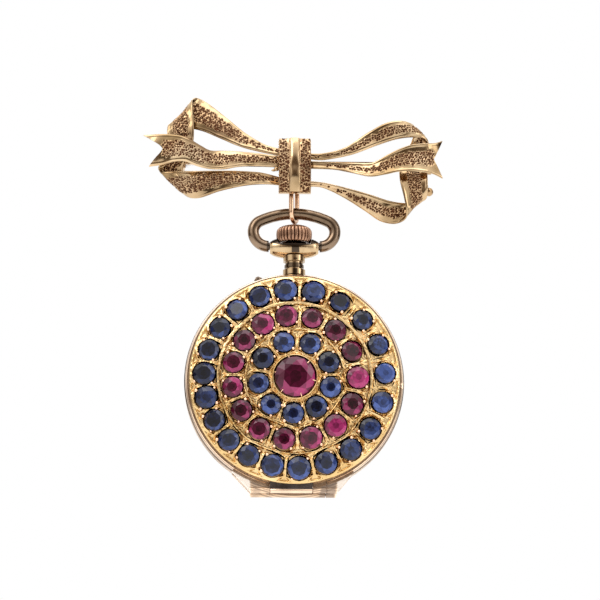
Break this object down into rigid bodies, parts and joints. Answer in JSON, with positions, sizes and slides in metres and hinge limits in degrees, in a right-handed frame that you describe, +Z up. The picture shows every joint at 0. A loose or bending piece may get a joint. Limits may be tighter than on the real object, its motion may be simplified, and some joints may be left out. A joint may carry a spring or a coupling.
{
  "type": "fob watch brooch",
  "caption": "Fob watch with a stone-set hinged back cover, hanging by a wire hook from a ribbon-bow brooch with a hinged pin.",
  "frame": {"origin": "centre of the outer face of the glass, on the axis of the hands", "axes": "+Z up as worn, +Y out of the glass, so the stone-set back cover faces -Y"},
  "size_m": [0.0375, 0.009, 0.0504],
  "materials": {
    "gold": "polished warm gold with stippled areas",
    "rose": "polished rose gold",
    "steel": "fine brushed",
    "blued": "heat-blued steel",
    "gilt": "frosted gilt",
    "ruby": "faceted red stone",
    "sapphire": "faceted blue stone",
    "glass": "clear glass",
    "enamel": "white enamel"
  },
  "bodies": {
    "brooch": {"bow_knot": "gold", "ribbon_loop_left": "gold", "ribbon_loop_right": "gold", "ribbon_tail_left": "gold", "ribbon_tail_right": "gold", "brooch_bar": "gold", "pin_hinge_bracket": "gold", "pin_hinge_rivet": "steel", "catch_block": "gold"},
    "pin": {"pin_stem": "steel"},
    "catch": {"catch_sleeve": "gold"},
    "hook": {"hanger_hook": "rose"},
    "bow": {"bail": "gold"},
    "watch": {"pendant": "gold", "case_middle": "gold", "rear_hinge_pin": "steel", "front_hinge_pin": "steel", "dial": "enamel", "mainplate": "gilt", "barrel_bridge": "gilt", "train_bridge": "gilt", "escape_cock": "gilt", "balance_cock": "gilt", "regulator": "steel", "movement_screws": "blued", "bridge_jewels": "ruby"},
    "winding": {"crown": "rose", "winding_stem": "steel"},
    "push_piece": {"setting_pin": "rose"},
    "cover": {"back_cover": "gold", "centre_ruby": "ruby", "inner_sapphires": "sapphire", "ruby_ring": "ruby", "outer_sapphires": "sapphire"},
    "inner_cover": {"cuvette": "gold"},
    "front_ring": {"bezel": "gold", "crystal": "glass"},
    "barrel_b": {"barrel": "gilt"},
    "ratchet_b": {"ratchet_wheel": "steel"},
    "crown_wheel_b": {"crown_wheel": "steel"},
    "centre_b": {"centre_wheel": "gilt", "minute_hand": "gold"},
    "third_b": {"third_wheel": "gilt"},
    "fourth_b": {"fourth_wheel": "gilt"},
    "escape_b": {"escape_wheel": "steel"},
    "balance_b": {"balance_wheel": "gilt", "hairspring": "blued"},
    "minute_wheel_b": {"minute_wheel": "gilt"},
    "hour_b": {"hour_wheel": "gilt", "hour_hand": "gold"}
  },
  "joints": [
    {"name": "pin_hinge", "type": "hinge", "parent": "brooch", "child": "pin", "pos_m": [-0.0144, -0.0019, 0.0285], "axis": [0, 0, 1], "range_deg": [0, 45]},
    {"name": "catch_turn", "type": "hinge", "parent": "brooch", "child": "catch", "pos_m": [0.0162, -0.0019, 0.0285], "axis": [1, 0, 0], "range_deg": [0, 100]},
    {"name": "hook_swing", "type": "hinge", "parent": "brooch", "child": "hook", "pos_m": [0, -0.00435, 0.0249], "axis": [1, 0, 0], "range_deg": [-3, 15]},
    {"name": "bow_on_hook", "type": "hinge", "parent": "hook", "child": "bow", "pos_m": [0, -0.00435, 0.02038], "axis": [0, 1, 0], "range_deg": [-20, 20]},
    {"name": "watch_swing", "type": "hinge", "parent": "bow", "child": "watch", "pos_m": [0, -0.00435, 0.01722], "axis": [1, 0, 0], "range_deg": [-26, 26]},
    {"name": "crown_turn", "type": "hinge", "parent": "watch", "child": "winding", "pos_m": [0, -0.00435, 0.0185], "axis": [0, 0, 1], "continuous": true},
    {"name": "setting_push", "type": "slide", "parent": "watch", "child": "push_piece", "axis": [0.3256, 0, -0.9455], "range_m": [0, 0.00035]},
    {"name": "back_cover_hinge", "type": "hinge", "parent": "watch", "child": "cover", "pos_m": [0, -0.0063, -0.01362], "axis": [1, 0, 0], "range_deg": [0, 110]},
    {"name": "inner_cover_hinge", "type": "hinge", "parent": "watch", "child": "inner_cover", "pos_m": [0, -0.0063, -0.01362], "axis": [1, 0, 0], "range_deg": [0, 82.5]},
    {"name": "bezel_hinge", "type": "hinge", "parent": "watch", "child": "front_ring", "pos_m": [0, -0.00245, -0.01362], "axis": [-1, 0, 0], "range_deg": [0, 100]},
    {"name": "third_turn", "type": "hinge", "parent": "watch", "child": "third_b", "pos_m": [0.00394, -0.0044, -0.00034], "axis": [0, -1, 0], "continuous": true},
    {"name": "centre_turn", "type": "hinge", "parent": "watch", "child": "centre_b", "pos_m": [0, -0.0044, 0], "axis": [0, -1, 0], "continuous": true},
    {"name": "fourth_turn", "type": "hinge", "parent": "watch", "child": "fourth_b", "pos_m": [0.00613, -0.0044, -0.00295], "axis": [0, -1, 0], "continuous": true},
    {"name": "escape_turn", "type": "hinge", "parent": "watch", "child": "escape_b", "pos_m": [0.00464, -0.0044, -0.00552], "axis": [0, -1, 0], "continuous": true},
    {"name": "barrel_turn", "type": "hinge", "parent": "watch", "child": "barrel_b", "pos_m": [-0.00535, -0.0044, 0.00249], "axis": [0, -1, 0], "continuous": true},
    {"name": "minute_wheel_turn", "type": "hinge", "parent": "watch", "child": "minute_wheel_b", "pos_m": [0, -0.0026, -0.00288], "axis": [0, -1, 0], "continuous": true},
    {"name": "hour_turn", "type": "hinge", "parent": "watch", "child": "hour_b", "pos_m": [0, -0.0025, 0], "axis": [0, -1, 0], "continuous": true},
    {"name": "balance_swing", "type": "hinge", "parent": "watch", "child": "balance_b", "pos_m": [0.0031, -0.0044, -0.00608], "axis": [0, -1, 0], "range_deg": [-150, 150]},
    {"name": "ratchet_turn", "type": "hinge", "parent": "watch", "child": "ratchet_b", "pos_m": [-0.00535, -0.0054, 0.00249], "axis": [0, -1, 0], "continuous": true},
    {"name": "crown_wheel_turn", "type": "hinge", "parent": "watch", "child": "crown_wheel_b", "pos_m": [0, -0.0054, 0.0065], "axis": [0, -1, 0], "continuous": true}
  ],
  "couplings": [
    {"joint": "inner_cover_hinge", "follows": "back_cover_hinge", "ratio": 0.75},
    {"joint": "centre_turn", "follows": "third_turn", "ratio": -0.125},
    {"joint": "fourth_turn", "follows": "third_turn", "ratio": -7.5},
    {"joint": "escape_turn", "follows": "third_turn", "ratio": 75},
    {"joint": "barrel_turn", "follows": "third_turn", "ratio": 0.015625},
    {"joint": "minute_wheel_turn", "follows": "third_turn", "ratio": 0.041667},
    {"joint": "hour_turn", "follows": "third_turn", "ratio": -0.010417},
    {"joint": "crown_wheel_turn", "follows": "crown_turn", "ratio": 0.5},
    {"joint": "ratchet_turn", "follows": "crown_turn", "ratio": -0.28}
  ]
}
